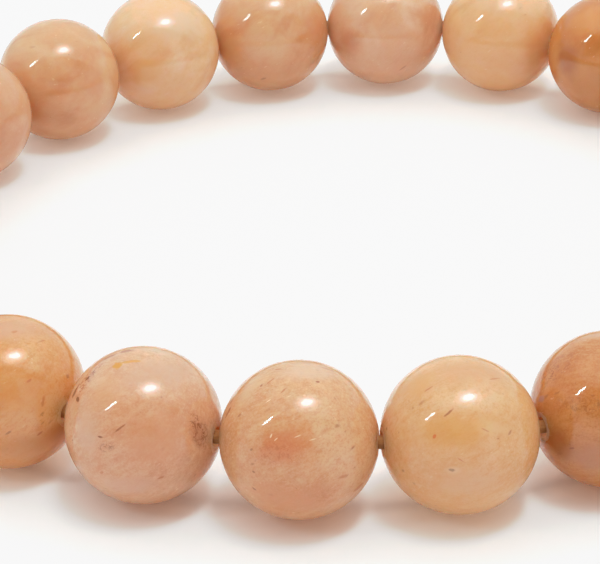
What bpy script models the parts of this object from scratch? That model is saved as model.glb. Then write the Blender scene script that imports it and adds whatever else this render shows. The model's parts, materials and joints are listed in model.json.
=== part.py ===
"""Beaded bracelet: drilled round stone beads on a closed loop of elastic, lying flat.

Run it with blender --background --python part.py, or from Blender's text editor.
Lengths are in metres and +Z is up. The beads rest on z = 0, and the box round the
bracelet is centred over the origin.
"""

import math

import bmesh
import bpy
from mathutils import Vector

MM = 0.001

# Beads, strung side by side
BEAD_COUNT = 22
BEAD_SIZE = 8.0 * MM
BEAD_CLEARANCE = 0.1 * MM  # left between the full rounds of two neighbours
BEAD_SIDES = 16  # facets round the drill hole, one of them facing straight down
BEAD_BANDS = 9  # rings of facets from mouth to mouth, odd so that the middle one is a girdle

# Elastic, and the drill hole that it runs through
CORD_SIZE = 0.7 * MM
CORD_CLEARANCE = 0.15 * MM  # all round the elastic in the drill hole
MOUTH_LIP = 0.12 * MM  # width of the ground bevel round the hole at each end of a bead
MOUTH_DEPTH = 0.1 * MM  # how deep that bevel goes
CORD_RINGS = 2  # bevel resolution of the elastic's round section

# How the loop lies: a circle that has settled slightly oval and slightly three-cornered.
# The shares are of its mean radius, and the turns say where each bulge points.
OVAL_SHARE = 0.022
OVAL_TURN = math.radians(28.0)
CORNER_SHARE = 0.018
CORNER_TURN = math.radians(74.0)
FIRST_BEAD_TURN = math.radians(-96.5)

# Stone finishes: colour and roughness
STONE_FINISHES = {
    "peach": ((0.60, 0.31, 0.17), 0.1),
    "pink": ((0.60, 0.32, 0.20), 0.1),
    "honey": ((0.66, 0.37, 0.18), 0.1),
    "amber": ((0.48, 0.19, 0.08), 0.1),
}
ELASTIC_COLOUR = (0.62, 0.55, 0.48)
ELASTIC_ROUGHNESS = 0.35

# Finish of each bead, from the front middle one and counter-clockwise seen from above
BEAD_TONES = (
    "peach", "honey", "amber", "pink", "honey", "peach", "peach", "amber", "honey", "amber", "honey",
    "pink", "peach", "honey", "peach", "pink", "amber", "peach", "honey", "peach", "honey", "pink",
)

SOLVE_STEPS = 60  # halvings of an interval, enough for every digit of a number


def clear_scene():
    """Remove whatever objects the file opened with."""
    for old in list(bpy.data.objects):
        bpy.data.objects.remove(old, do_unlink=True)


def new_finish(name, colour, roughness):
    """Make a plain Principled material."""
    material = bpy.data.materials.new(name)
    material.use_nodes = True
    shader = material.node_tree.nodes["Principled BSDF"]
    shader.inputs["Base Color"].default_value = (*colour, 1.0)
    shader.inputs["Roughness"].default_value = roughness
    shader.inputs["Metallic"].default_value = 0.0
    return material


def bore_radius():
    """Radius of the drill hole that clears the elastic."""
    return CORD_SIZE / 2 + CORD_CLEARANCE


def mouth_radius():
    """Radius of the edge where the bevelled mouth meets the round of its bead."""
    return bore_radius() + MOUTH_LIP


def mouth_angle():
    """Angle between the drill hole and the edge of its mouth, seen from the bead's centre."""
    return math.asin(mouth_radius() / (BEAD_SIZE / 2))


def half_length():
    """Distance from a bead's centre to the plane of its mouth."""
    return BEAD_SIZE / 2 * math.cos(mouth_angle())


def bead_profile():
    """Closed outline of half a bead as (along the hole, out from the hole), mouth to mouth and back."""
    radius = BEAD_SIZE / 2
    step = (math.pi - 2 * mouth_angle()) / BEAD_BANDS
    outer = []
    for index in range(BEAD_BANDS + 1):
        angle = mouth_angle() + index * step
        outer.append([radius * math.cos(angle), radius * math.sin(angle)])
    # The two points beside the middle are lifted, so that the girdle is flat at full size.
    for index in (BEAD_BANDS // 2, BEAD_BANDS // 2 + 1):
        outer[index][1] = radius
    bore_end = half_length() - MOUTH_DEPTH
    return outer + [[-bore_end, bore_radius()], [bore_end, bore_radius()]]


def bead_mesh(name, material):
    """Spin the outline round the drill hole, which lies along X, into a closed drilled bead."""
    work = bmesh.new()
    lift = 1 / math.cos(math.pi / BEAD_SIDES)  # corners stand out so that the flats hold the size
    first_turn = math.pi / BEAD_SIDES  # half a facet, so that a flat faces down
    ring = []
    for along, out in bead_profile():
        reach = out * lift
        place = (along, reach * math.sin(first_turn), reach * math.cos(first_turn))
        ring.append(work.verts.new(place))
    edges = [work.edges.new((ring[i - 1], ring[i])) for i in range(len(ring))]
    bmesh.ops.spin(
        work,
        geom=ring + edges,
        cent=(0, 0, 0),
        axis=(1, 0, 0),
        angle=math.tau,
        steps=BEAD_SIDES,
        use_merge=True,
    )
    bmesh.ops.remove_doubles(work, verts=work.verts, dist=0.001 * MM)
    bmesh.ops.recalc_face_normals(work, faces=work.faces)
    mesh = bpy.data.meshes.new(name)
    work.to_mesh(mesh)
    work.free()
    mesh.materials.append(material)
    mesh.shade_smooth()
    mesh.set_sharp_from_angle(angle=math.radians(35))
    return mesh


def loop_point(mean_radius, angle):
    """Point of the loop's centre line at an angle round its middle, at the beads' middle height."""
    oval = OVAL_SHARE * math.cos(2 * (angle - OVAL_TURN))
    corners = CORNER_SHARE * math.cos(3 * (angle - CORNER_TURN))
    reach = mean_radius * (1 + oval + corners)
    return Vector((reach * math.cos(angle), reach * math.sin(angle), BEAD_SIZE / 2))


def next_angle(mean_radius, angle, pitch):
    """Angle of the bead that lies one pitch further round the loop."""
    start = loop_point(mean_radius, angle)
    low = 0.0
    high = min(3 * pitch / mean_radius, math.pi)
    for _ in range(SOLVE_STEPS):
        middle = (low + high) / 2
        if (loop_point(mean_radius, angle + middle) - start).length < pitch:
            low = middle
        else:
            high = middle
    return angle + low


def bead_angles(mean_radius, pitch):
    """Angles of the beads, and of the place where one more would lie."""
    angles = [FIRST_BEAD_TURN]
    for _ in range(BEAD_COUNT):
        angles.append(next_angle(mean_radius, angles[-1], pitch))
    return angles


def bead_centres():
    """Centres of the beads on a loop that they just fill, each one pitch from the next."""
    pitch = BEAD_SIZE + BEAD_CLEARANCE
    round_radius = pitch / (2 * math.sin(math.pi / BEAD_COUNT))
    low = 0.7 * round_radius
    high = 1.4 * round_radius
    for _ in range(SOLVE_STEPS):
        middle = (low + high) / 2
        if bead_angles(middle, pitch)[-1] - FIRST_BEAD_TURN > math.tau:
            low = middle
        else:
            high = middle
    return [loop_point(high, angle) for angle in bead_angles(high, pitch)[:BEAD_COUNT]]


def hole_directions(centres):
    """Unit vector along each bead's drill hole, which turns evenly towards both neighbours."""
    return [
        (centres[(i + 1) % len(centres)] - centres[i - 1]).normalized() for i in range(len(centres))
    ]


def add_beads(holder, centres, directions):
    """String the beads: one object for each, with its hole along the loop."""
    meshes = {}
    for tone, (colour, roughness) in STONE_FINISHES.items():
        meshes[tone] = bead_mesh("bead_" + tone, new_finish("stone_" + tone, colour, roughness))
    beads = []
    for i, (centre, direction) in enumerate(zip(centres, directions)):
        tone = BEAD_TONES[i % len(BEAD_TONES)]
        bead = bpy.data.objects.new(f"bead_{i + 1:02d}", meshes[tone])
        bpy.context.collection.objects.link(bead)
        bead.parent = holder
        bead.location = centre
        bead.rotation_euler = (0, 0, math.atan2(direction.y, direction.x))
        beads.append(bead)
    return beads


def add_cord(holder, centres, directions):
    """Run the elastic straight through each bead, and bend it where two beads meet."""
    points = []
    for centre, direction in zip(centres, directions):
        points.append(centre - direction * half_length())
        points.append(centre + direction * half_length())
    curve = bpy.data.curves.new("elastic_cord", "CURVE")
    curve.dimensions = "3D"
    curve.twist_mode = "Z_UP"
    curve.bevel_depth = CORD_SIZE / 2
    curve.bevel_resolution = CORD_RINGS
    spline = curve.splines.new("POLY")
    spline.points.add(len(points) - 1)
    for knot, place in zip(spline.points, points):
        knot.co = (*place, 1.0)
    spline.use_cyclic_u = True
    spline.use_smooth = True
    curve.materials.append(new_finish("elastic", ELASTIC_COLOUR, ELASTIC_ROUGHNESS))
    cord = bpy.data.objects.new("elastic_cord", curve)
    bpy.context.collection.objects.link(cord)
    cord.parent = holder
    return cord


def centre_over_origin(holder, pieces):
    """Shift the holder so that the box round its pieces is centred over the origin."""
    bpy.context.view_layer.update()
    corners = [piece.matrix_world @ vertex.co for piece in pieces for vertex in piece.data.vertices]
    for axis in (0, 1):
        reach = [corner[axis] for corner in corners]
        holder.location[axis] -= (min(reach) + max(reach)) / 2


def main():
    """Build the bracelet."""
    clear_scene()
    holder = bpy.data.objects.new("bracelet", None)
    bpy.context.collection.objects.link(holder)
    centres = bead_centres()
    directions = hole_directions(centres)
    beads = add_beads(holder, centres, directions)
    add_cord(holder, centres, directions)
    centre_over_origin(holder, beads)


main()
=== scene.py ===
"""Looks of the beaded bracelet: polished stone beads on elastic, lying in soft studio light.

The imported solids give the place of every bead. Each one is replaced by a smooth drilled ball with
the clouds, fibres and flecks of its own stone, and the elastic by a rounder loop.
"""

import json
import logging
import math
import random
from dataclasses import dataclass, field, replace
from enum import Enum
from typing import Any

import bpy
from mathutils import Euler, Matrix, Vector


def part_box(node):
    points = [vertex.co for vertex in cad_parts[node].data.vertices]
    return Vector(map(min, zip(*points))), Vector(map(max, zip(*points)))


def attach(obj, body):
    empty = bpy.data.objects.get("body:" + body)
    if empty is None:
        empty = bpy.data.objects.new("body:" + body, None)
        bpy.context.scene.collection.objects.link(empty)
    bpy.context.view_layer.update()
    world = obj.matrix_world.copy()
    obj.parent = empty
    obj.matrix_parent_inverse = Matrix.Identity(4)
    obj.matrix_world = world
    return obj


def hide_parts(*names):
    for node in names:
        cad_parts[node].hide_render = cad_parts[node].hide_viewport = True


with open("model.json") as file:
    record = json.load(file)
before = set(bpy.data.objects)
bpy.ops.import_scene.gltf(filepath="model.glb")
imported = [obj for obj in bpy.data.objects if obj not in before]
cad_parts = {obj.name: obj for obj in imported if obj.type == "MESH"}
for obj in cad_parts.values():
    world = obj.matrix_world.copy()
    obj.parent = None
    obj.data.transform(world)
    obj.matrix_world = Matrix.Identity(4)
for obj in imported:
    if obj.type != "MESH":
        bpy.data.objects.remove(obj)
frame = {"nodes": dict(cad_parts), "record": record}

LOG = logging.getLogger("bracelet")
MM = 0.001
Colour = tuple[float, float, float]
Place = tuple[float, float, float]
Shoulder = tuple[tuple[float, float], ...]  # brightness in the scene and as shown


class Value:
    """A number socket that takes part in Python arithmetic."""

    def __init__(self, graph: "Graph", socket: bpy.types.NodeSocket) -> None:
        """Wrap the output socket of a node."""
        self.graph = graph
        self.socket = socket

    def maths(self, operation: str, *others: "Value | float") -> "Value":
        """Add a Math node with this value as its first input.

        Args:
            operation: the Math node's operation.
            others: the values of its other inputs.

        Returns:
            The result.
        """
        inputs = {i: other for i, other in enumerate((self, *others))}
        return self.graph.value("ShaderNodeMath", {"operation": operation}, inputs)

    def __add__(self, other: "Value | float") -> "Value":
        """Return self + other."""
        return self.maths("ADD", other)

    def __radd__(self, other: float) -> "Value":
        """Return other + self."""
        return self.maths("ADD", other)

    def __sub__(self, other: "Value | float") -> "Value":
        """Return self - other."""
        return self.maths("SUBTRACT", other)

    def __rsub__(self, other: float) -> "Value":
        """Return other - self."""
        return self.maths("MULTIPLY_ADD", -1.0, other)

    def __mul__(self, other: "Value | float") -> "Value":
        """Return self * other."""
        return self.maths("MULTIPLY", other)

    def __rmul__(self, other: float) -> "Value":
        """Return other * self."""
        return self.maths("MULTIPLY", other)

    def __truediv__(self, other: "Value | float") -> "Value":
        """Return self / other."""
        return self.maths("DIVIDE", other)

    def smooth(self, low: float, high: float) -> "Value":
        """Rise softly from 0 at low to 1 at high, or fall if high is the smaller.

        Args:
            low: the value that gives 0.
            high: the value that gives 1.

        Returns:
            A mask from 0 to 1.
        """
        rising = low < high
        inputs = {
            "Value": self,
            "From Min": low if rising else high,
            "From Max": high if rising else low,
            "To Min": 0.0 if rising else 1.0,
            "To Max": 1.0 if rising else 0.0,
        }
        return self.graph.value("ShaderNodeMapRange", {"interpolation_type": "SMOOTHSTEP"}, inputs)


class Graph:
    """A node tree that is written as expressions."""

    def __init__(self, tree: bpy.types.NodeTree) -> None:
        """Start on an empty tree."""
        self.tree = tree
        self.tree.nodes.clear()

    def add(self, kind: str, settings: dict[str, Any], inputs: dict[int | str, Any]) -> bpy.types.Node:
        """Add a node, set what it does, and then feed its sockets.

        Args:
            kind: the node's type.
            settings: its properties, by name.
            inputs: a value, socket or Value for each socket, by name or number.

        Returns:
            The node.
        """
        node = self.tree.nodes.new(kind)
        for name, setting in settings.items():
            setattr(node, name, setting)
        for key, given in inputs.items():
            socket = given.socket if isinstance(given, Value) else given
            if isinstance(socket, bpy.types.NodeSocket):
                self.tree.links.new(socket, node.inputs[key])
            else:
                node.inputs[key].default_value = socket
        return node

    def value(self, kind: str, settings: dict[str, Any], inputs: dict[int | str, Any]) -> Value:
        """Add a node and return its first output as a number.

        Args:
            kind: the node's type.
            settings: its properties, by name.
            inputs: a value, socket or Value for each socket.

        Returns:
            The first output.
        """
        return Value(self, self.add(kind, settings, inputs).outputs[0])

    def moved(
        self,
        place: bpy.types.NodeSocket,
        centre: Place = (0, 0, 0),
        turn: Place = (0, 0, 0),
        size: Place = (1, 1, 1),
    ) -> bpy.types.NodeSocket:
        """Read a place in a frame that is centred, turned and sized as given.

        Args:
            place: the place to read.
            centre: the frame's origin.
            turn: the frame's turn, in radians.
            size: the length of one unit along each of its axes.

        Returns:
            The place in that frame.
        """
        settings = {"vector_type": "TEXTURE"}
        inputs = {"Vector": place, "Location": centre, "Rotation": turn, "Scale": size}
        return self.add("ShaderNodeMapping", settings, inputs).outputs[0]

    def noise(
        self, place: bpy.types.NodeSocket, scale: float, detail: float = 2.0, **more: float
    ) -> Value:
        """Read a cloud-like pattern from 0 to 1.

        Args:
            place: where to read it.
            scale: how many clouds there are in a unit.
            detail: how many finer layers it has.
            more: other sockets of the Noise Texture, by name with capitals dropped.

        Returns:
            The pattern.
        """
        inputs = {"Vector": place, "Scale": scale, "Detail": detail}
        inputs.update({name.title(): number for name, number in more.items()})
        return self.value("ShaderNodeTexNoise", {}, inputs)

    def distance(self, place: bpy.types.NodeSocket) -> Value:
        """Return how far a place is from its frame's origin."""
        node = self.add("ShaderNodeVectorMath", {"operation": "LENGTH"}, {0: place})
        return Value(self, node.outputs["Value"])

    def part(self, place: bpy.types.NodeSocket, axis: str) -> Value:
        """Return one part of a place: X, Y or Z."""
        return Value(self, self.add("ShaderNodeSeparateXYZ", {}, {0: place}).outputs[axis])

    def mix(self, under: Any, over: Any, share: Value | float) -> bpy.types.NodeSocket:
        """Lay one colour over another.

        Args:
            under: the colour where share is 0.
            over: the colour where share is 1.
            share: how much of the second colour shows.

        Returns:
            The mixed colour.
        """
        ends = [(*end, 1.0) if isinstance(end, tuple) else end for end in (under, over)]
        settings = {"data_type": "RGBA", "clamp_factor": True}
        node = self.add("ShaderNodeMix", settings, {"Factor": share})
        for end, socket in zip(ends, (node.inputs[6], node.inputs[7])):
            if isinstance(end, bpy.types.NodeSocket):
                self.tree.links.new(end, socket)
            else:
                socket.default_value = end
        return node.outputs[2]

    def let_light_through(
        self, shader: bpy.types.Node, shade: Colour, glow: Colour, share: Value | float
    ) -> None:
        """Finish a material whose shadows keep some of the light.

        Args:
            shader: the shader that everything but a shadow sees.
            shade: what one surface lets through where share is 0.
            glow: what one surface lets through where share is 1.
            share: where the second colour applies.
        """
        dim, warm = (
            self.add("ShaderNodeBsdfTransparent", {}, {"Color": (*end, 1.0)}) for end in (shade, glow)
        )
        inputs = {0: share, 1: dim.outputs[0], 2: warm.outputs[0]}
        passing = self.add("ShaderNodeMixShader", {}, inputs)
        shadow_ray = self.add("ShaderNodeLightPath", {}, {}).outputs["Is Shadow Ray"]
        inputs = {0: shadow_ray, 1: shader.outputs[0], 2: passing.outputs[0]}
        surface = self.add("ShaderNodeMixShader", {}, inputs)
        self.add("ShaderNodeOutputMaterial", {}, {"Surface": surface.outputs[0]})


class Tone(Enum):
    """The stone tones of the string, each with its slot in the record."""

    PEACH = "stone_peach"
    PINK = "stone_pink"
    HONEY = "stone_honey"
    AMBER = "stone_amber"


class Outline(Enum):
    """The outline of a lamp's face."""

    ROUND = "ELLIPSE"
    STRAIGHT = "RECTANGLE"


class Pick(Enum):
    """What is picked at a bead's mouth: its flat faces, or the edge round it."""

    FACES = "FACE"
    EDGE = "EDGE"


class Lights(Enum):
    """What a lamp lights: everything, only the sheen on polish, or everything but that sheen."""

    ALL = "all"
    SHEEN = "sheen"
    BODY = "body"


class Mark(Enum):
    """Kinds of natural mark in a bead."""

    CLOUD = "cloud"
    DENDRITE = "dendrite"
    STROKE = "stroke"


@dataclass(frozen=True)
class Facing:
    """The axes of a bead as somebody at a given place sees it: across, up and towards them."""

    across: Vector
    up: Vector
    near: Vector

    @classmethod
    def from_place(cls, centre: Vector, onlooker: Place) -> "Facing":
        """Look at a bead from a place.

        Args:
            centre: the bead's centre.
            onlooker: the place.

        Returns:
            The axes.
        """
        near = (Vector(onlooker) - centre).normalized()
        across = Vector((0, 0, 1)).cross(near).normalized()
        return cls(across, near.cross(across), near)

    def spot(self, across: float, up: float) -> Vector:
        """Find the place on the unit ball that is seen at an offset from its middle.

        Args:
            across: the offset to the right, in radii.
            up: the offset upwards, in radii.

        Returns:
            The place.
        """
        depth = math.sqrt(max(0.0, 1.0 - across**2 - up**2))
        return self.across * across + self.up * up + self.near * depth

    def turn(self, spot: Vector, angle: float) -> Place:
        """Turn a frame at a spot so that its X runs at an angle in the view and its Z points out.

        Args:
            spot: the place on the unit ball.
            angle: the angle from rightwards, in degrees.

        Returns:
            The frame's Euler angles.
        """
        aim = self.across * math.cos(math.radians(angle)) + self.up * math.sin(math.radians(angle))
        along = (aim - self.near * (aim.dot(spot) / max(0.15, self.near.dot(spot)))).normalized()
        beside = spot.cross(along).normalized()
        return tuple(Matrix((along, beside, spot)).transposed().to_euler())


@dataclass(frozen=True)
class Grit:
    """The noises that roughen the outlines of a bead's marks."""

    broad: Value
    fine: Value
    twigs: Value


@dataclass(frozen=True)
class Inclusion:
    """One natural mark: its offset in the view, half its size, its colour, strength and angle."""

    mark: Mark
    at: tuple[float, float]
    size: tuple[float, float]
    colour: Colour
    strength: float = 1.0
    angle: float = 0.0

    def paint(
        self,
        graph: Graph,
        ball: bpy.types.NodeSocket,
        facing: Facing,
        grit: Grit,
        under: bpy.types.NodeSocket,
    ) -> bpy.types.NodeSocket:
        """Lay the mark over the stone's colour.

        Args:
            graph: the material's graph.
            ball: the place on the unit ball.
            facing: the view that the offset and the angle are in.
            grit: the noises for its outline.
            under: the colour so far.

        Returns:
            The colour with the mark.
        """
        spot = facing.spot(*self.at)
        size = (*self.size, max(self.size))
        near = graph.distance(graph.moved(ball, tuple(spot), facing.turn(spot, self.angle), size))
        if self.mark is Mark.CLOUD:
            share = (near + grit.broad * 0.9).smooth(1.15, 0.25)
        elif self.mark is Mark.DENDRITE:
            share = grit.twigs * near.smooth(1.25, 0.35)
        else:
            share = (near + grit.fine * 1.1).smooth(1.05, 0.45)
        return graph.mix(under, self.colour, share * self.strength)


# Colours that many marks share: dark and rusty fibres, and bright painted glints, which are painted
# highlights
BROWN = (0.22, 0.075, 0.03)
RUST = (0.42, 0.13, 0.045)
PAINTED_GLINT = (0.86, 0.62, 0.42)


@dataclass(frozen=True)
class StoneFinish:
    """Polished cloudy stone: a body colour with paler and deeper clouds, fibres, brown flecks and
    painted glints, and painted shade underneath.
    """

    body: Colour
    pale: Colour
    deep: Colour
    fleck: Colour = (0.24, 0.085, 0.035)
    # the colour of the pale painted glints, painted highlights on the grain
    painted_glint: Colour = (0.80, 0.56, 0.36)
    ground: Colour = (0.52, 0.36, 0.29)
    bore: Colour = (0.56, 0.28, 0.12)
    flecks: float = 0.30  # share of the places for a fleck that hold one
    grain: float = 0.5  # how clearly the fibres and the fine grain show
    grounding: float = 0.0  # how clearly the ground ring round a mouth shows
    painted_underside_shade: float = 0.45  # how much of the deep colour is laid underneath as painted shade
    polish: float = 0.04  # roughness where the stone is smoothest
    milkiness: float = 0.8  # share of the light that wanders in the stone
    depth: float = 6.0 * MM  # how far it wanders
    reach: Colour = (1.0, 0.5, 0.28)  # the share of that distance for red, green and blue
    index: float = 1.6
    shade: Colour = (0.76, 0.73, 0.71)  # what the upper part lets through into the shadow
    glow: Colour = (0.46, 0.25, 0.16)  # and what the underside does
    marks: tuple[Inclusion, ...] = ()

    def material(
        self, name: str, bead: "BeadPlace", shape: "DrilledBead", facing: Facing
    ) -> bpy.types.Material:
        """Make the stone of one bead.

        Args:
            name: the material's name.
            bead: where the bead lies, which sets where its pattern starts.
            shape: the bead's sizes, which set where its ground mouth ends.
            facing: the view that its marks are placed in.

        Returns:
            The material.
        """
        material = bpy.data.materials.new(name)
        material.use_nodes = True
        graph = Graph(material.node_tree)
        world_place = graph.add("ShaderNodeTexCoord", {}, {}).outputs["Object"]
        unit = (shape.radius,) * 3
        ball = graph.moved(world_place, tuple(bead.centre), size=unit)
        hole = graph.moved(world_place, tuple(bead.centre), (0, 0, bead.heading), unit)
        drift = random.Random(bead.number)
        start = tuple(drift.uniform(-20, 20) for _ in range(3))
        grain_turn = (drift.uniform(-0.5, 0.5), drift.uniform(-0.7, -0.3), drift.uniform(-0.4, 0.4))
        loose = graph.moved(ball, start)
        grain = graph.moved(ball, start, grain_turn, (3.2, 1.0, 1.0))

        lower = graph.part(ball, "Z").smooth(0.1, -0.9)
        # Painted shade: the deep colour is laid over the lower part of every bead, darker towards the
        # bottom.
        colour = graph.mix(self.clouds(graph, loose, grain), self.deep, lower * self.painted_underside_shade)
        grit = Grit(
            graph.noise(loose, 3.0, 3.0) - 0.5,
            graph.noise(loose, 14.0, 2.0) - 0.5,
            graph.noise(loose, 17.0, 5.0, roughness=0.8, distortion=0.9).smooth(0.47, 0.60),
        )
        colour = self.scatter(graph, grain, loose, colour)
        for mark in self.marks:
            colour = mark.paint(graph, ball, facing, grit, colour)

        across = graph.add("ShaderNodeVectorMath", {"operation": "MULTIPLY"}, {0: hole, 1: (0, 1, 1)})
        from_hole = graph.distance(across.outputs[0]) * shape.radius
        ragged = from_hole + grit.fine * (0.25 * MM)
        ground = ragged.smooth(shape.ground_radius * 1.05, shape.ground_radius * 0.9)
        inside = from_hole.smooth(shape.bore_radius * 1.12, shape.bore_radius * 1.0)
        frost = graph.noise(loose, 30.0, 3.0)
        colour = graph.mix(colour, self.ground, ground * (0.5 + frost) * self.grounding)
        colour = graph.mix(colour, self.bore, inside)

        rough = self.polish + graph.noise(loose, 3.0, 2.0) * 0.04 + ground * 0.5
        ripple = graph.noise(loose, 2.2, 1.0) * 0.35 + ground * frost * 0.8
        bump = graph.add("ShaderNodeBump", {}, {"Strength": 0.15, "Distance": 0.00004, "Height": ripple})
        shader = graph.add(
            "ShaderNodeBsdfPrincipled",
            {"subsurface_method": "RANDOM_WALK"},
            {
                "Base Color": colour,
                "Roughness": rough,
                "IOR": self.index,
                "Normal": bump.outputs[0],
                "Subsurface Weight": self.milkiness,
                "Subsurface Radius": self.reach,
                "Subsurface Scale": self.depth,
            },
        )
        # A share of the light that falls on a bead comes through it, and leaves warmest underneath.
        graph.let_light_through(shader, self.shade, self.glow, lower)
        return material

    def clouds(
        self, graph: Graph, loose: bpy.types.NodeSocket, grain: bpy.types.NodeSocket
    ) -> bpy.types.NodeSocket:
        """Mix the stone's soft clouds, its fibres and its fine grain.

        Args:
            graph: the material's graph.
            loose: the place that the clouds are read at.
            grain: the place that the fibres are read at, stretched along the grain.

        Returns:
            The colour.
        """
        pale = graph.noise(loose, 1.1, 3.0, distortion=0.6).smooth(0.44, 0.66)
        deep = graph.noise(grain, 1.9, 3.0, distortion=0.4).smooth(0.50, 0.74)
        fibres = graph.noise(grain, 15.0, 4.0, roughness=0.75, distortion=0.3)
        grains = graph.noise(loose, 34.0, 2.0, roughness=0.6)
        colour = graph.mix(self.body, self.pale, pale * 0.8)
        colour = graph.mix(colour, self.deep, deep * 0.7)
        colour = graph.mix(colour, self.pale, fibres.smooth(0.50, 0.64) * self.grain)
        colour = graph.mix(colour, self.deep, fibres.smooth(0.49, 0.36) * self.grain)
        colour = graph.mix(colour, self.pale, grains.smooth(0.52, 0.66) * (0.7 * self.grain))
        return graph.mix(colour, self.deep, grains.smooth(0.47, 0.34) * (0.7 * self.grain))

    def scatter(
        self,
        graph: Graph,
        grain: bpy.types.NodeSocket,
        loose: bpy.types.NodeSocket,
        under: bpy.types.NodeSocket,
    ) -> bpy.types.NodeSocket:
        """Scatter pale painted glints and thin brown flecks along the grain, and a few dark specks.

        Args:
            graph: the material's graph.
            grain: the place that the flecks are read at.
            loose: the place that the specks are read at.
            under: the colour so far.

        Returns:
            The colour with flecks.
        """
        for place, colour, scale, reach, share, strength in (
            # pale painted glints: painted highlights along the grain
            (grain, self.painted_glint, 16.0, 0.20, 0.30, 0.5),
            (grain, self.fleck, 6.5, 0.20, self.flecks, 0.5),
            (grain, self.fleck, 12.0, 0.16, self.flecks * 0.8, 0.4),
            (loose, self.fleck, 15.0, 0.14, self.flecks * 0.4, 0.6),
        ):
            waves = graph.add("ShaderNodeTexNoise", {}, {"Vector": place, "Scale": scale * 1.6})
            settings = {"operation": "MULTIPLY_ADD"}
            inputs = {0: waves.outputs["Color"], 1: (0.05, 0.05, 0.05), 2: place}
            bent = graph.add("ShaderNodeVectorMath", settings, inputs).outputs[0]
            inputs = {"Vector": bent, "Scale": scale}
            cells = graph.add("ShaderNodeTexVoronoi", {"feature": "F1"}, inputs)
            near = Value(graph, cells.outputs["Distance"])
            lot = graph.part(cells.outputs["Color"], "X")
            size = graph.part(cells.outputs["Color"], "Y")
            spot = (near / (0.4 + size * 0.9)).smooth(reach, reach * 0.35)
            under = graph.mix(under, colour, spot * lot.smooth(share, share - 0.02) * strength)
        return under


@dataclass(frozen=True)
class ElasticFinish:
    """Elastic with a faint lengthwise grain, coloured dark amber-brown: partly its own tint, partly
    painted shade for the mouths and gaps where it shows.
    """

    # Both colours are dark, partly painted shade for the mouths and gaps where the elastic shows.
    colour: Colour = (0.40, 0.175, 0.055)
    shade: Colour = (0.32, 0.125, 0.035)
    passing: Colour = (0.92, 0.88, 0.85)

    def material(self) -> bpy.types.Material:
        """Make the elastic's material.

        Returns:
            The material.
        """
        material = bpy.data.materials.new("elastic_tint_and_painted_shade")
        material.use_nodes = True
        graph = Graph(material.node_tree)
        place = graph.add("ShaderNodeTexCoord", {}, {}).outputs["Object"]
        streaks = graph.noise(graph.moved(place, size=(MM, MM, 0.15 * MM)), 2.0, 3.0)
        colour = graph.mix(self.shade, self.colour, streaks.smooth(0.35, 0.65))
        bump = graph.add("ShaderNodeBump", {}, {"Strength": 0.2, "Distance": 0.00002, "Height": streaks})
        shader = graph.add(
            "ShaderNodeBsdfPrincipled",
            {},
            {
                "Base Color": colour,
                "Roughness": 0.5 + streaks * 0.2,
                "IOR": 1.3,
                "Normal": bump.outputs[0],
                "Subsurface Weight": 0.5,
                "Subsurface Radius": (1.0, 0.8, 0.6),
                "Subsurface Scale": 0.0004,
            },
        )
        graph.let_light_through(shader, self.passing, self.passing, 0.0)
        return material


@dataclass(frozen=True)
class BeadPlace:
    """Where one bead lies: its number, its centre and the heading of its drill hole."""

    number: int
    centre: Vector
    heading: float


def only(piece: bpy.types.Object) -> None:
    """Select one object and nothing else, and make it active.

    Args:
        piece: the object.
    """
    bpy.ops.object.select_all(action="DESELECT")
    piece.select_set(True)
    bpy.context.view_layer.objects.active = piece


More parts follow.
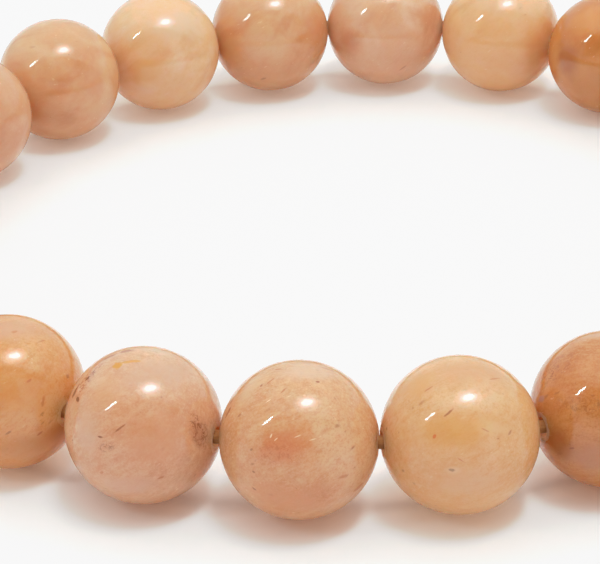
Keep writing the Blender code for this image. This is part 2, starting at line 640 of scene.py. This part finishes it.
@dataclass
class DrilledBead:
    """A polished ball with a drill hole along X, and a ground ring round each small mouth."""

    radius: float = 4.045 * MM
    bore_radius: float = 0.5 * MM
    mouth_radius: float = 0.62 * MM
    mouth_depth: float = 0.1 * MM
    ground_radius: float = 0.8 * MM
    edge_softening: float = 0.03 * MM
    segments: int = 64
    rings: int = 44
    turn_step: float = 2.4  # how much further each bead is turned on the elastic, in radians

    @property
    def half_length(self) -> float:
        """Distance from the centre to the plane of a mouth."""
        return math.sqrt(self.radius**2 - self.mouth_radius**2)

    def pick(self, piece: bpy.types.Object, kind: Pick, side: int, reach: float) -> None:
        """Select the faces or edges of one mouth, in edit mode.

        Args:
            piece: the bead.
            kind: what is picked.
            side: 1 for the mouth at +X, -1 for the one at -X.
            reach: how far from the hole's axis the selection may lie.
        """
        bpy.ops.mesh.select_mode(type=kind.value)
        bpy.ops.mesh.select_all(action="DESELECT")
        bpy.ops.object.mode_set(mode="OBJECT")
        mesh = piece.data
        slack = 0.01 * MM
        if kind is Pick.FACES:
            for face in mesh.polygons:
                middle = face.center
                flat = abs(middle.x - side * self.half_length) < slack
                face.select = flat and math.hypot(middle.y, middle.z) < reach
        else:
            for edge in mesh.edges:
                ends = [mesh.vertices[i].co for i in edge.vertices]
                flat = all(abs(end.x - side * self.half_length) < slack for end in ends)
                edge.select = flat and all(abs(math.hypot(end.y, end.z) - reach) < slack for end in ends)
        bpy.ops.object.mode_set(mode="EDIT")

    def model(self) -> bpy.types.Object:
        """Model the bead at the origin: cut the poles off a ball, sink the mouths and open the hole.

        Returns:
            The bead.
        """
        bpy.ops.mesh.primitive_uv_sphere_add(
            segments=self.segments,
            ring_count=self.rings,
            radius=self.radius,
            rotation=(0, math.pi / 2, 0),
        )
        bead = bpy.context.active_object
        bead.name = "bead_model"
        only(bead)
        bpy.ops.object.transform_apply(location=False, rotation=True, scale=False)
        bpy.ops.object.mode_set(mode="EDIT")
        for side in (1, -1):
            bpy.ops.mesh.select_all(action="SELECT")
            bpy.ops.mesh.bisect(
                plane_co=(side * self.half_length, 0, 0),
                plane_no=(side, 0, 0),
                use_fill=True,
                clear_outer=True,
                threshold=1e-7,
            )
        for side in (1, -1):
            self.pick(bead, Pick.EDGE, side, self.mouth_radius)
            bpy.ops.mesh.bevel(offset=self.edge_softening, segments=3, affect="EDGES")
        for side in (1, -1):
            self.pick(bead, Pick.FACES, side, self.edge_softening)
            lip = self.mouth_radius - self.edge_softening - self.bore_radius
            bpy.ops.mesh.inset(thickness=lip, depth=0.0)
            bpy.ops.transform.translate(value=(-side * self.mouth_depth, 0, 0))
        self.open_hole(bead)
        bpy.ops.object.mode_set(mode="OBJECT")
        bpy.ops.object.shade_smooth_by_angle(angle=math.radians(32))
        return bead

    def open_hole(self, bead: bpy.types.Object) -> None:
        """Join the two sunk mouths by the wall of the drill hole, in edit mode.

        Args:
            bead: the bead.
        """
        bpy.ops.mesh.select_mode(type="FACE")
        bpy.ops.mesh.select_all(action="DESELECT")
        bpy.ops.object.mode_set(mode="OBJECT")
        for face in bead.data.polygons:
            face.select = len(face.vertices) > 8
        bpy.ops.object.mode_set(mode="EDIT")
        bpy.ops.mesh.bridge_edge_loops()
        bpy.ops.mesh.select_all(action="SELECT")
        bpy.ops.mesh.normals_make_consistent(inside=False)

    def copy_to(self, model: bpy.types.Object, name: str, bead: BeadPlace) -> bpy.types.Object:
        """String a copy of the bead, with its own mesh, and apply its place to that mesh.

        Args:
            model: the bead at the origin.
            name: the copy's name.
            bead: where the copy lies.

        Returns:
            The copy.
        """
        only(model)
        bpy.ops.object.duplicate(linked=False)
        copy = bpy.context.active_object
        copy.name = name
        copy.data.name = name
        copy.rotation_euler = (bead.number * self.turn_step, 0, bead.heading)
        copy.location = bead.centre
        bpy.ops.object.transform_apply(location=True, rotation=True, scale=True)
        return copy


@dataclass
class ElasticLoop:
    """The closed loop of elastic: straight through each bead, bending where two beads meet."""

    radius: float = 0.35 * MM
    sides: int = 12
    straight: float = 0.97  # share of a bead's length that it runs without a bend
    finish: ElasticFinish = field(default_factory=ElasticFinish)

    def build(self, beads: list[BeadPlace], shape: DrilledBead) -> bpy.types.Object:
        """Model the loop and dress it.

        Args:
            beads: the places of the beads, in order round the string.
            shape: the beads' sizes.

        Returns:
            The loop.
        """
        curve = bpy.data.curves.new("elastic_loop", "CURVE")
        curve.dimensions = "3D"
        curve.twist_mode = "Z_UP"
        curve.bevel_depth = self.radius
        curve.bevel_resolution = (self.sides - 4) // 2
        spline = curve.splines.new("POLY")
        knots = []
        for bead in beads:
            along = Vector((math.cos(bead.heading), math.sin(bead.heading), 0))
            for share in (-1.0, -self.straight, self.straight, 1.0):
                knots.append(bead.centre + along * shape.half_length * share)
        spline.points.add(len(knots) - 1)
        for point, knot in zip(spline.points, knots):
            point.co = (*knot, 1.0)
        spline.use_cyclic_u = True
        loop = bpy.data.objects.new("elastic_loop", curve)
        bpy.context.collection.objects.link(loop)
        only(loop)
        bpy.ops.object.convert(target="MESH")
        loop = bpy.context.active_object
        bpy.ops.object.shade_smooth()
        loop.data.materials.clear()
        loop.data.materials.append(self.finish.material())
        return loop


BASE_FINISHES = {
    Tone.PEACH: StoneFinish(
        body=(0.62, 0.33, 0.165),
        pale=(0.67, 0.42, 0.245),
        deep=(0.53, 0.23, 0.095),
    ),
    Tone.PINK: StoneFinish(
        body=(0.62, 0.335, 0.19),
        pale=(0.68, 0.43, 0.28),
        deep=(0.53, 0.245, 0.12),
        glow=(0.41, 0.22, 0.14),
    ),
    Tone.HONEY: StoneFinish(
        body=(0.67, 0.37, 0.175),
        pale=(0.71, 0.43, 0.25),
        deep=(0.60, 0.29, 0.09),
        glow=(0.54, 0.37, 0.26),
    ),
    Tone.AMBER: StoneFinish(
        body=(0.52, 0.215, 0.065),
        pale=(0.58, 0.29, 0.11),
        deep=(0.42, 0.145, 0.03),
    ),
}

def back_stone(tone: Tone, **own: Any) -> StoneFinish:
    """Finish a bead of the back row: clearer stone with little grain and few flecks.

    Args:
        tone: the tone that it starts from.
        own: what this bead has of its own, by name.

    Returns:
        The finish.
    """
    clearer = {"shade": (0.83, 0.82, 0.81), "glow": (0.58, 0.44, 0.36)}
    return replace(BASE_FINISHES[tone], flecks=0.06, grain=0.12, **clearer, **own)


# The beads that the photograph shows, with the marks that can be made out in each
# Some clouds over the tops and bottoms of the front beads are partly painted shade, which tones their
# tops and lower rims down.
OWN_FINISHES = {
    1: replace(
        BASE_FINISHES[Tone.PEACH],
        flecks=0.34,
        marks=(
            Inclusion(Mark.CLOUD, (-0.19, -0.10), (0.42, 0.26), (0.58, 0.22, 0.10), 0.7, 10),
            # Partly painted shade: a deeper cloud over the lower part of the bead.
            Inclusion(Mark.CLOUD, (-0.05, -0.75), (0.65, 0.32), (0.57, 0.25, 0.115), 0.75),
            Inclusion(Mark.CLOUD, (-0.59, 0.62), (0.35, 0.25), (0.66, 0.38, 0.20), 0.6, 40),
            Inclusion(Mark.CLOUD, (0.15, 0.85), (0.50, 0.25), (0.64, 0.42, 0.30), 0.7),
            Inclusion(Mark.STROKE, (-0.45, 0.67), (0.030, 0.020), BROWN, 0.8, 60),
            Inclusion(Mark.STROKE, (0.24, 0.70), (0.030, 0.022), BROWN, 0.8),
            Inclusion(Mark.STROKE, (-0.24, 0.87), (0.060, 0.020), RUST, 0.7, 5),
            Inclusion(Mark.STROKE, (-0.18, 0.60), (0.070, 0.014), RUST, 0.7, 45),
            Inclusion(Mark.STROKE, (-0.34, 0.72), (0.090, 0.014), RUST, 0.6, 38),
            Inclusion(Mark.STROKE, (-0.58, -0.11), (0.030, 0.020), BROWN, 0.6, 20),
            Inclusion(Mark.STROKE, (-0.56, -0.38), (0.030, 0.018), BROWN, 0.7, -30),
            Inclusion(Mark.STROKE, (-0.56, -0.59), (0.035, 0.018), BROWN, 0.7, -35),
            Inclusion(Mark.STROKE, (0.65, -0.11), (0.060, 0.025), BROWN, 0.5, 45),
            Inclusion(Mark.STROKE, (0.52, -0.46), (0.090, 0.025), RUST, 0.5, 15),
            Inclusion(Mark.STROKE, (0.72, -0.60), (0.120, 0.050), (0.45, 0.15, 0.06), 0.7, 40),
            Inclusion(Mark.STROKE, (-0.87, 0.35), (0.120, 0.035), BROWN, 0.6, 60),
            Inclusion(Mark.STROKE, (0.37, 0.86), (0.120, 0.030), RUST, 0.5, -20),
            Inclusion(Mark.DENDRITE, (0.35, -0.70), (0.25, 0.15), RUST, 0.35),
            Inclusion(Mark.DENDRITE, (-0.30, -0.17), (0.42, 0.20), (0.46, 0.17, 0.07), 0.55, -5),
            Inclusion(Mark.DENDRITE, (-0.42, 0.62), (0.30, 0.14), RUST, 0.4, 40),
            # Painted glints: pale strokes that stand for highlights on the grain
            Inclusion(Mark.STROKE, (-0.34, 0.05), (0.040, 0.010), PAINTED_GLINT, 0.9, 65),
            Inclusion(Mark.STROKE, (-0.28, 0.01), (0.035, 0.009), PAINTED_GLINT, 0.8, 40),
            Inclusion(Mark.STROKE, (-0.02, 0.04), (0.050, 0.009), PAINTED_GLINT, 0.8, 20),
            Inclusion(Mark.STROKE, (0.17, 0.00), (0.060, 0.009), PAINTED_GLINT, 0.8, 15),
            Inclusion(Mark.STROKE, (-0.36, 0.48), (0.050, 0.010), PAINTED_GLINT, 0.8, 35),
        ),
    ),
    2: replace(
        BASE_FINISHES[Tone.HONEY],
        flecks=0.16,
        marks=(
            # Partly painted shade: a darker cloud over the top of the bead tones the top down.
            Inclusion(Mark.CLOUD, (0.10, 0.78), (0.75, 0.34), (0.58, 0.30, 0.15), 0.8),
            Inclusion(Mark.CLOUD, (-0.54, 0.60), (0.34, 0.26), (0.64, 0.32, 0.12), 0.8, 30),
            Inclusion(Mark.CLOUD, (-0.05, 0.05), (0.55, 0.28), (0.68, 0.36, 0.13), 0.7, 10),
            Inclusion(Mark.CLOUD, (0.05, -0.60), (0.60, 0.30), (0.66, 0.39, 0.22), 0.7),
            Inclusion(Mark.CLOUD, (0.45, 0.10), (0.25, 0.12), (0.70, 0.44, 0.24), 0.6, -20),
            Inclusion(Mark.STROKE, (-0.14, 0.26), (0.080, 0.020), BROWN, 0.7, 42),
            Inclusion(Mark.STROKE, (-0.39, 0.55), (0.080, 0.014), RUST, 0.6, 35),
            Inclusion(Mark.STROKE, (-0.31, -0.03), (0.035, 0.025), (0.62, 0.16, 0.05), 0.9, 60),
            Inclusion(Mark.CLOUD, (-0.09, -0.43), (0.12, 0.06), (0.70, 0.45, 0.27), 0.8),
            Inclusion(Mark.STROKE, (-0.09, -0.43), (0.055, 0.026), (0.30, 0.17, 0.09), 0.8),
            Inclusion(Mark.STROKE, (0.02, -0.31), (0.070, 0.012), RUST, 0.6, -30),
            Inclusion(Mark.STROKE, (0.31, 0.06), (0.080, 0.012), RUST, 0.5, -25),
            Inclusion(Mark.STROKE, (0.61, 0.04), (0.050, 0.020), BROWN, 0.5, 60),
            Inclusion(Mark.STROKE, (0.41, 0.69), (0.110, 0.014), RUST, 0.5, 10),
            Inclusion(Mark.STROKE, (-0.90, 0.06), (0.030, 0.020), BROWN, 0.6, 70),
        ),
    ),
    3: replace(
        BASE_FINISHES[Tone.AMBER],
        flecks=0.40,
        grounding=0.50,
        marks=(
            Inclusion(Mark.CLOUD, (-0.60, -0.47), (0.30, 0.30), (0.34, 0.115, 0.03), 0.8),
            Inclusion(Mark.CLOUD, (-0.10, -0.62), (0.50, 0.34), (0.46, 0.21, 0.11), 0.8),
            Inclusion(Mark.CLOUD, (0.20, 0.60), (0.50, 0.30), (0.54, 0.245, 0.10), 0.7),
            Inclusion(Mark.CLOUD, (-0.10, 0.92), (0.50, 0.15), (0.55, 0.30, 0.18), 0.7),
            Inclusion(Mark.DENDRITE, (-0.62, 0.55), (0.30, 0.25), (0.30, 0.10, 0.03), 0.6),
            Inclusion(Mark.DENDRITE, (-0.78, 0.36), (0.20, 0.15), (0.26, 0.08, 0.03), 0.6),
            Inclusion(Mark.DENDRITE, (-0.30, 0.03), (0.50, 0.12), (0.28, 0.09, 0.03), 0.5),
            Inclusion(Mark.STROKE, (-0.84, 0.08), (0.080, 0.050), (0.42, 0.24, 0.22), 0.8, 20),
            Inclusion(Mark.STROKE, (-0.43, -0.51), (0.050, 0.018), BROWN, 0.6, 10),
        ),
    ),
    21: replace(
        BASE_FINISHES[Tone.HONEY],
        body=(0.63, 0.29, 0.095),
        pale=(0.67, 0.365, 0.165),
        deep=(0.56, 0.21, 0.055),
        flecks=0.30,
        marks=(
            Inclusion(Mark.CLOUD, (0.57, -0.58), (0.26, 0.20), (0.46, 0.16, 0.04), 0.8, 20),
            Inclusion(Mark.CLOUD, (0.10, -0.05), (0.55, 0.35), (0.64, 0.31, 0.12), 0.6),
            # Partly painted shade: a deeper cloud over the lower part of the bead.
            Inclusion(Mark.CLOUD, (0.20, -0.75), (0.70, 0.30), (0.52, 0.225, 0.075), 0.7),
            # Partly painted shade: a greyer cloud over the top of the bead tones the top down.
            Inclusion(Mark.CLOUD, (0.05, 0.80), (0.70, 0.30), (0.58, 0.30, 0.18), 0.8),
            Inclusion(Mark.STROKE, (0.42, -0.16), (0.090, 0.030), RUST, 0.6, 75),
            Inclusion(Mark.STROKE, (0.35, -0.56), (0.060, 0.020), RUST, 0.8, 35),
            Inclusion(Mark.STROKE, (0.26, 0.11), (0.050, 0.018), RUST, 0.6, 30),
            Inclusion(Mark.STROKE, (0.13, 0.75), (0.060, 0.035), RUST, 0.5, 20),
            Inclusion(Mark.STROKE, (-0.05, -0.52), (0.060, 0.020), BROWN, 0.6, 30),
            Inclusion(Mark.STROKE, (0.46, 0.60), (0.090, 0.014), RUST, 0.5, 15),
        ),
    ),
    22: replace(
        BASE_FINISHES[Tone.PINK],
        flecks=0.26,
        marks=(
            Inclusion(Mark.CLOUD, (0.14, -0.16), (0.50, 0.45), (0.60, 0.285, 0.145), 0.7),
            Inclusion(Mark.CLOUD, (-0.70, -0.05), (0.25, 0.35), (0.62, 0.38, 0.25), 0.8),
            Inclusion(Mark.CLOUD, (-0.20, -0.75), (0.50, 0.20), (0.58, 0.34, 0.23), 0.7),
            Inclusion(Mark.CLOUD, (-0.45, 0.45), (0.30, 0.30), (0.62, 0.32, 0.16), 0.6, 40),
            # Partly painted shade: a greyer cloud over the top of the bead tones the top down.
            Inclusion(Mark.CLOUD, (0.25, 0.65), (0.60, 0.34), (0.58, 0.345, 0.235), 0.8),
            Inclusion(Mark.STROKE, (-0.29, 0.75), (0.090, 0.080), (0.62, 0.27, 0.035), 1.0, 10),
            Inclusion(Mark.STROKE, (-0.12, 0.79), (0.150, 0.035), (0.62, 0.29, 0.06), 0.9, 2),
            Inclusion(Mark.DENDRITE, (-0.66, 0.62), (0.30, 0.12), BROWN, 0.9, 50),
            Inclusion(Mark.STROKE, (-0.66, 0.62), (0.050, 0.028), (0.14, 0.045, 0.02), 0.9, 40),
            Inclusion(Mark.STROKE, (-0.83, 0.46), (0.110, 0.050), (0.16, 0.05, 0.02), 0.8, 60),
            Inclusion(Mark.STROKE, (-0.80, 0.36), (0.060, 0.035), (0.18, 0.06, 0.025), 0.8, -60),
            Inclusion(Mark.STROKE, (-0.17, 0.93), (0.110, 0.060), BROWN, 0.7, 5),
            Inclusion(Mark.STROKE, (-0.38, 0.87), (0.150, 0.045), BROWN, 0.6, 22),
            Inclusion(Mark.STROKE, (-0.54, -0.12), (0.050, 0.018), BROWN, 0.8, -15),
            Inclusion(Mark.STROKE, (-0.28, -0.02), (0.120, 0.014), BROWN, 0.6, 33),
            Inclusion(Mark.DENDRITE, (-0.47, -0.25), (0.16, 0.07), BROWN, 0.6, 15),
            Inclusion(Mark.DENDRITE, (0.68, -0.11), (0.27, 0.15), (0.20, 0.065, 0.03), 1.0, 112),
            Inclusion(Mark.CLOUD, (0.68, -0.11), (0.28, 0.16), (0.36, 0.14, 0.07), 0.5, 112),
            Inclusion(Mark.STROKE, (0.18, -0.66), (0.060, 0.025), RUST, 0.6, 20),
            Inclusion(Mark.STROKE, (-0.55, -0.56), (0.040, 0.020), RUST, 0.5, 30),
        ),
    ),
    10: back_stone(
        Tone.AMBER,
        body=(0.52, 0.205, 0.055),
        pale=(0.57, 0.27, 0.09),
        marks=(
            Inclusion(Mark.CLOUD, (-0.35, 0.55), (0.45, 0.35), (0.62, 0.26, 0.07), 0.8),
            Inclusion(Mark.CLOUD, (-0.70, -0.10), (0.30, 0.35), (0.40, 0.15, 0.06), 0.8),
        ),
    ),
    11: back_stone(
        Tone.HONEY,
        body=(0.76, 0.43, 0.215),
        pale=(0.78, 0.47, 0.28),
        marks=(
            Inclusion(Mark.CLOUD, (0.60, -0.25), (0.30, 0.45), (0.66, 0.34, 0.14), 0.7),
            Inclusion(Mark.CLOUD, (-0.10, 0.60), (0.65, 0.38), (0.69, 0.41, 0.24), 0.8),
        ),
    ),
    12: back_stone(
        Tone.PINK,
        body=(0.67, 0.39, 0.235),
        pale=(0.71, 0.47, 0.32),
        marks=(Inclusion(Mark.CLOUD, (-0.60, -0.25), (0.25, 0.25), (0.56, 0.25, 0.13), 0.7),),
    ),
    13: back_stone(
        Tone.PEACH,
        marks=(
            Inclusion(Mark.CLOUD, (0.75, 0.10), (0.25, 0.35), (0.58, 0.25, 0.13), 0.6),
            Inclusion(Mark.CLOUD, (-0.70, -0.25), (0.30, 0.30), (0.62, 0.33, 0.15), 0.8),
        ),
    ),
    14: back_stone(
        Tone.HONEY,
        body=(0.75, 0.45, 0.25),
        pale=(0.77, 0.52, 0.36),
        marks=(
            Inclusion(Mark.CLOUD, (-0.25, -0.35), (0.35, 0.30), (0.70, 0.40, 0.17), 0.8, 30),
            Inclusion(Mark.CLOUD, (0.30, 0.40), (0.60, 0.40), (0.70, 0.47, 0.32), 0.8),
        ),
    ),
    15: back_stone(
        Tone.PEACH,
        marks=(
            Inclusion(Mark.CLOUD, (0.60, -0.10), (0.30, 0.35), (0.58, 0.26, 0.14), 0.5),
            Inclusion(Mark.CLOUD, (-0.50, -0.50), (0.35, 0.30), (0.54, 0.24, 0.10), 0.6),
        ),
    ),
    16: back_stone(Tone.PINK),
}


@dataclass
class BeadString:
    """All the beads: found in the frame, modelled once, copied and dressed one by one."""

    onlooker: Place
    shape: DrilledBead = field(default_factory=DrilledBead)
    body: str = "root"

    def places(self) -> list[BeadPlace]:
        """Find where the beads lie.

        Returns:
            The places, in order round the string.
        """
        names = sorted(name for name in frame["nodes"] if name.startswith("bead_"))
        centres = []
        for name in names:
            low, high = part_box(name)
            centres.append((low + high) / 2)
        found = []
        for i, centre in enumerate(centres):
            along = centres[(i + 1) % len(centres)] - centres[i - 1]
            found.append(BeadPlace(i + 1, centre, math.atan2(along.y, along.x)))
        return found

    def tones(self) -> dict[str, Tone]:
        """Read the tone of each bead from the record.

        Returns:
            The tone of each node.
        """
        rows = frame["record"]["subparts"]
        beads = [row for row in rows if row["node"].startswith("bead_")]
        return {row["node"]: Tone(row["material_slot"]) for row in beads}

    def build(self) -> list[BeadPlace]:
        """Make every bead and let it stand for its solid.

        Returns:
            The places of the beads.
        """
        model = self.shape.model()
        tones = self.tones()
        beads = self.places()
        for bead in beads:
            node = f"bead_{bead.number:02d}"
            piece = self.shape.copy_to(model, "stone_" + node, bead)
            tone = tones[node]
            finish = OWN_FINISHES.get(bead.number, BASE_FINISHES[tone])
            facing = Facing.from_place(bead.centre, self.onlooker)
            piece.data.materials.clear()
            piece.data.materials.append(finish.material("stone_" + node, bead, self.shape, facing))
            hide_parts(node)
            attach(piece, self.body)
            LOG.info("%s: %s", piece.name, tone.name.lower())
        bpy.data.objects.remove(model, do_unlink=True)
        return beads


@dataclass(frozen=True)
class Lamp:
    """A studio lamp: the direction that it shines from, its distance, size, turn and brightness."""

    name: str
    toward: Place
    distance: float
    size: tuple[float, float]
    radiance: float
    turn: float = 0.0
    outline: Outline = Outline.ROUND
    lights: Lights = Lights.ALL

    def place(self) -> bpy.types.Object:
        """Add the lamp, aimed at the bracelet's middle.

        Returns:
            The lamp.
        """
        light = bpy.data.lights.new(self.name, "AREA")
        light.shape = self.outline.value
        light.size, light.size_y = self.size
        filled = math.pi / 4 if self.outline is Outline.ROUND else 1.0
        light.energy = self.radiance * self.size[0] * self.size[1] * filled * math.pi
        lamp = bpy.data.objects.new(self.name, light)
        bpy.context.collection.objects.link(lamp)
        away = Vector(self.toward).normalized()
        lamp.location = away * self.distance
        lamp.visible_diffuse = self.lights is not Lights.SHEEN
        lamp.visible_transmission = self.lights is not Lights.SHEEN
        lamp.visible_glossy = self.lights is not Lights.BODY
        lamp.rotation_mode = "QUATERNION"
        spin = Euler((0, 0, self.turn)).to_quaternion()
        lamp.rotation_quaternion = away.to_track_quat("Z", "Y") @ spin
        return lamp


@dataclass(frozen=True)
class Tent:
    """White cloth all round, with the opening that the photographer works through.

    The opening is read on a wall one unit in front of the bracelet, as across and up.
    """

    cloth: float = 0.72
    opening: float = 0.14
    left: float = -1.6
    right: float = 0.45
    bottom: float = 0.30
    top: float = 2.3
    card_top: float = 1.23
    softness: float = 0.08

    def hang(self) -> None:
        """Make the world that lights and surrounds the bracelet."""
        world = bpy.data.worlds.new("tent")
        bpy.context.scene.world = world
        world.use_nodes = True
        graph = Graph(world.node_tree)
        toward = graph.add("ShaderNodeTexCoord", {}, {}).outputs["Generated"]
        front = graph.part(toward, "Y") * -1.0
        depth = front.maths("MAXIMUM", 0.001)
        across = graph.part(toward, "X") / depth
        up = graph.part(toward, "Z") / depth
        soft = self.softness
        left_of_card = across.smooth(self.right + soft, self.right - soft)
        above_card = up.smooth(self.card_top - soft, self.card_top + soft)
        gap = left_of_card.maths("MAXIMUM", above_card)
        gap = gap * across.smooth(self.left - soft, self.left + soft)
        gap = gap * up.smooth(self.bottom - soft, self.bottom + soft)
        gap = gap * up.smooth(self.top + soft, self.top - soft)
        gap = gap * front.smooth(0.0, 0.05)
        light = self.cloth - gap * (self.cloth - self.opening)
        shade = graph.add("ShaderNodeBackground", {}, {"Color": (1.0, 1.0, 1.0, 1.0), "Strength": light})
        graph.add("ShaderNodeOutputWorld", {}, {"Surface": shade.outputs[0]})


# Where the round lamp overhead shines from, and the turn of its long side
OVERHEAD = (0.176, -0.122, 0.975)
OVERHEAD_TURN = math.radians(151)


@dataclass
class Studio:
    """The floor, the lamps, the tent and the camera."""

    floor_level: float
    floor_size: float = 3.0
    lens: float = 153.12
    camera_place: Place = (-2.54 * MM, -138.45 * MM, 69.94 * MM)
    camera_down: float = math.radians(27.307)
    camera_roll: float = math.radians(-1.05)
    brightest: float = 4.0
    shoulder: Shoulder = ((0.60, 0.60), (0.85, 0.76), (0.95, 0.86), (1.02, 0.93), (1.50, 0.99))
    red_shoulder: Shoulder = ((0.60, 0.60), (0.80, 0.785), (0.96, 0.92), (1.03, 1.02), (1.20, 1.20))
    lamps: tuple[Lamp, ...] = (
        Lamp("ceiling", (0.10, 0.12, 0.98), 0.70, (1.38, 1.38), 0.36),
        Lamp("sheen", (0.15, 0.60, 0.80), 0.69, (2.4, 2.4), 0.30, lights=Lights.SHEEN),
        Lamp("top_lamp", OVERHEAD, 0.60, (0.17, 0.12), 37.0, lights=Lights.BODY),
        Lamp("top_core", OVERHEAD, 0.59, (0.155, 0.088), 11.0, OVERHEAD_TURN, lights=Lights.SHEEN),
        Lamp("top_halo", OVERHEAD, 0.62, (0.25, 0.165), 4.0, OVERHEAD_TURN, lights=Lights.SHEEN),
        Lamp("top_glow", OVERHEAD, 0.65, (0.42, 0.31), 2.0, OVERHEAD_TURN, lights=Lights.SHEEN),
        Lamp(
            "strip_lamp",
            (-0.670, -0.335, 0.6625),
            0.60,
            (0.165, 0.014),
            55.0,
            math.radians(75),
            outline=Outline.STRAIGHT,
        ),
    )

    def build(self) -> None:
        """Set up everything round the bracelet."""
        self.add_floor()
        Tent().hang()
        for lamp in self.lamps:
            lamp.place()
        self.add_camera()
        self.develop()

    def develop(self) -> None:
        """Roll the brightest tones off softly, and red a little apart, as the photograph does."""
        view = bpy.context.scene.view_settings
        view.view_transform = "Standard"
        view.look = "None"
        view.use_curve_mapping = True
        view.curve_mapping.white_level = (self.brightest,) * 3
        red, *_, combined = view.curve_mapping.curves
        # The red curve comes first, so what it gives still counts in shares of the brightest.
        self.bend(red, self.red_shoulder, self.brightest)
        self.bend(combined, self.shoulder, 1.0)
        view.curve_mapping.update()

    def bend(self, curve: bpy.types.CurveMap, shoulder: Shoulder, full: float) -> None:
        """Bend one tone curve at its shoulder.

        Args:
            curve: the curve, which starts as a straight line.
            shoulder: the points that it goes through.
            full: the shown brightness that the curve calls 1.
        """
        for bright, shown in shoulder:
            curve.points.new(bright / self.brightest, shown / full)
        for point in curve.points:
            point.handle_type = "VECTOR"

    def add_floor(self) -> None:
        """Lay the plain pale floor that the beads touch."""
        bpy.ops.mesh.primitive_plane_add(size=self.floor_size, location=(0, 0, self.floor_level))
        floor = bpy.context.active_object
        floor.name = "pale_floor"
        material = bpy.data.materials.new("pale_floor")
        material.use_nodes = True
        graph = Graph(material.node_tree)
        place = graph.add("ShaderNodeTexCoord", {}, {}).outputs["Object"]
        tooth = graph.noise(place, 900.0, 2.0)
        colour = graph.mix((0.828, 0.840, 0.840), (0.842, 0.854, 0.854), tooth)
        shader = graph.add("ShaderNodeBsdfPrincipled", {}, {"Base Color": colour, "Roughness": 0.75})
        graph.add("ShaderNodeOutputMaterial", {}, {"Surface": shader.outputs[0]})
        floor.data.materials.append(material)

    def add_camera(self) -> None:
        """Look at the bracelet as the photograph does."""
        data = bpy.data.cameras.new("camera")
        data.lens = self.lens
        data.sensor_width = 36.0
        data.clip_start = 0.01
        camera = bpy.data.objects.new("camera", data)
        bpy.context.collection.objects.link(camera)
        tilt = Matrix.Rotation(math.pi / 2 - self.camera_down, 4, "X")
        roll = Matrix.Rotation(self.camera_roll, 4, "Z")
        camera.matrix_world = Matrix.Translation(self.camera_place) @ tilt @ roll
        bpy.context.scene.camera = camera


def main() -> None:
    """Build the bracelet's looks and the studio round it."""
    logging.basicConfig(level=logging.INFO, format="%(message)s")
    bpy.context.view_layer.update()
    bpy.ops.object.select_all(action="DESELECT")
    studio = Studio(floor_level=0.0)
    string = BeadString(studio.camera_place)
    beads = string.build()
    loop = ElasticLoop().build(beads, string.shape)
    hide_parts("elastic_cord")
    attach(loop, string.body)
    LOG.info("%s: %d knots", loop.name, 4 * len(beads))
    studio.floor_level = beads[0].centre.z - string.shape.radius
    studio.build()


if __name__ == "__main__":
    main()
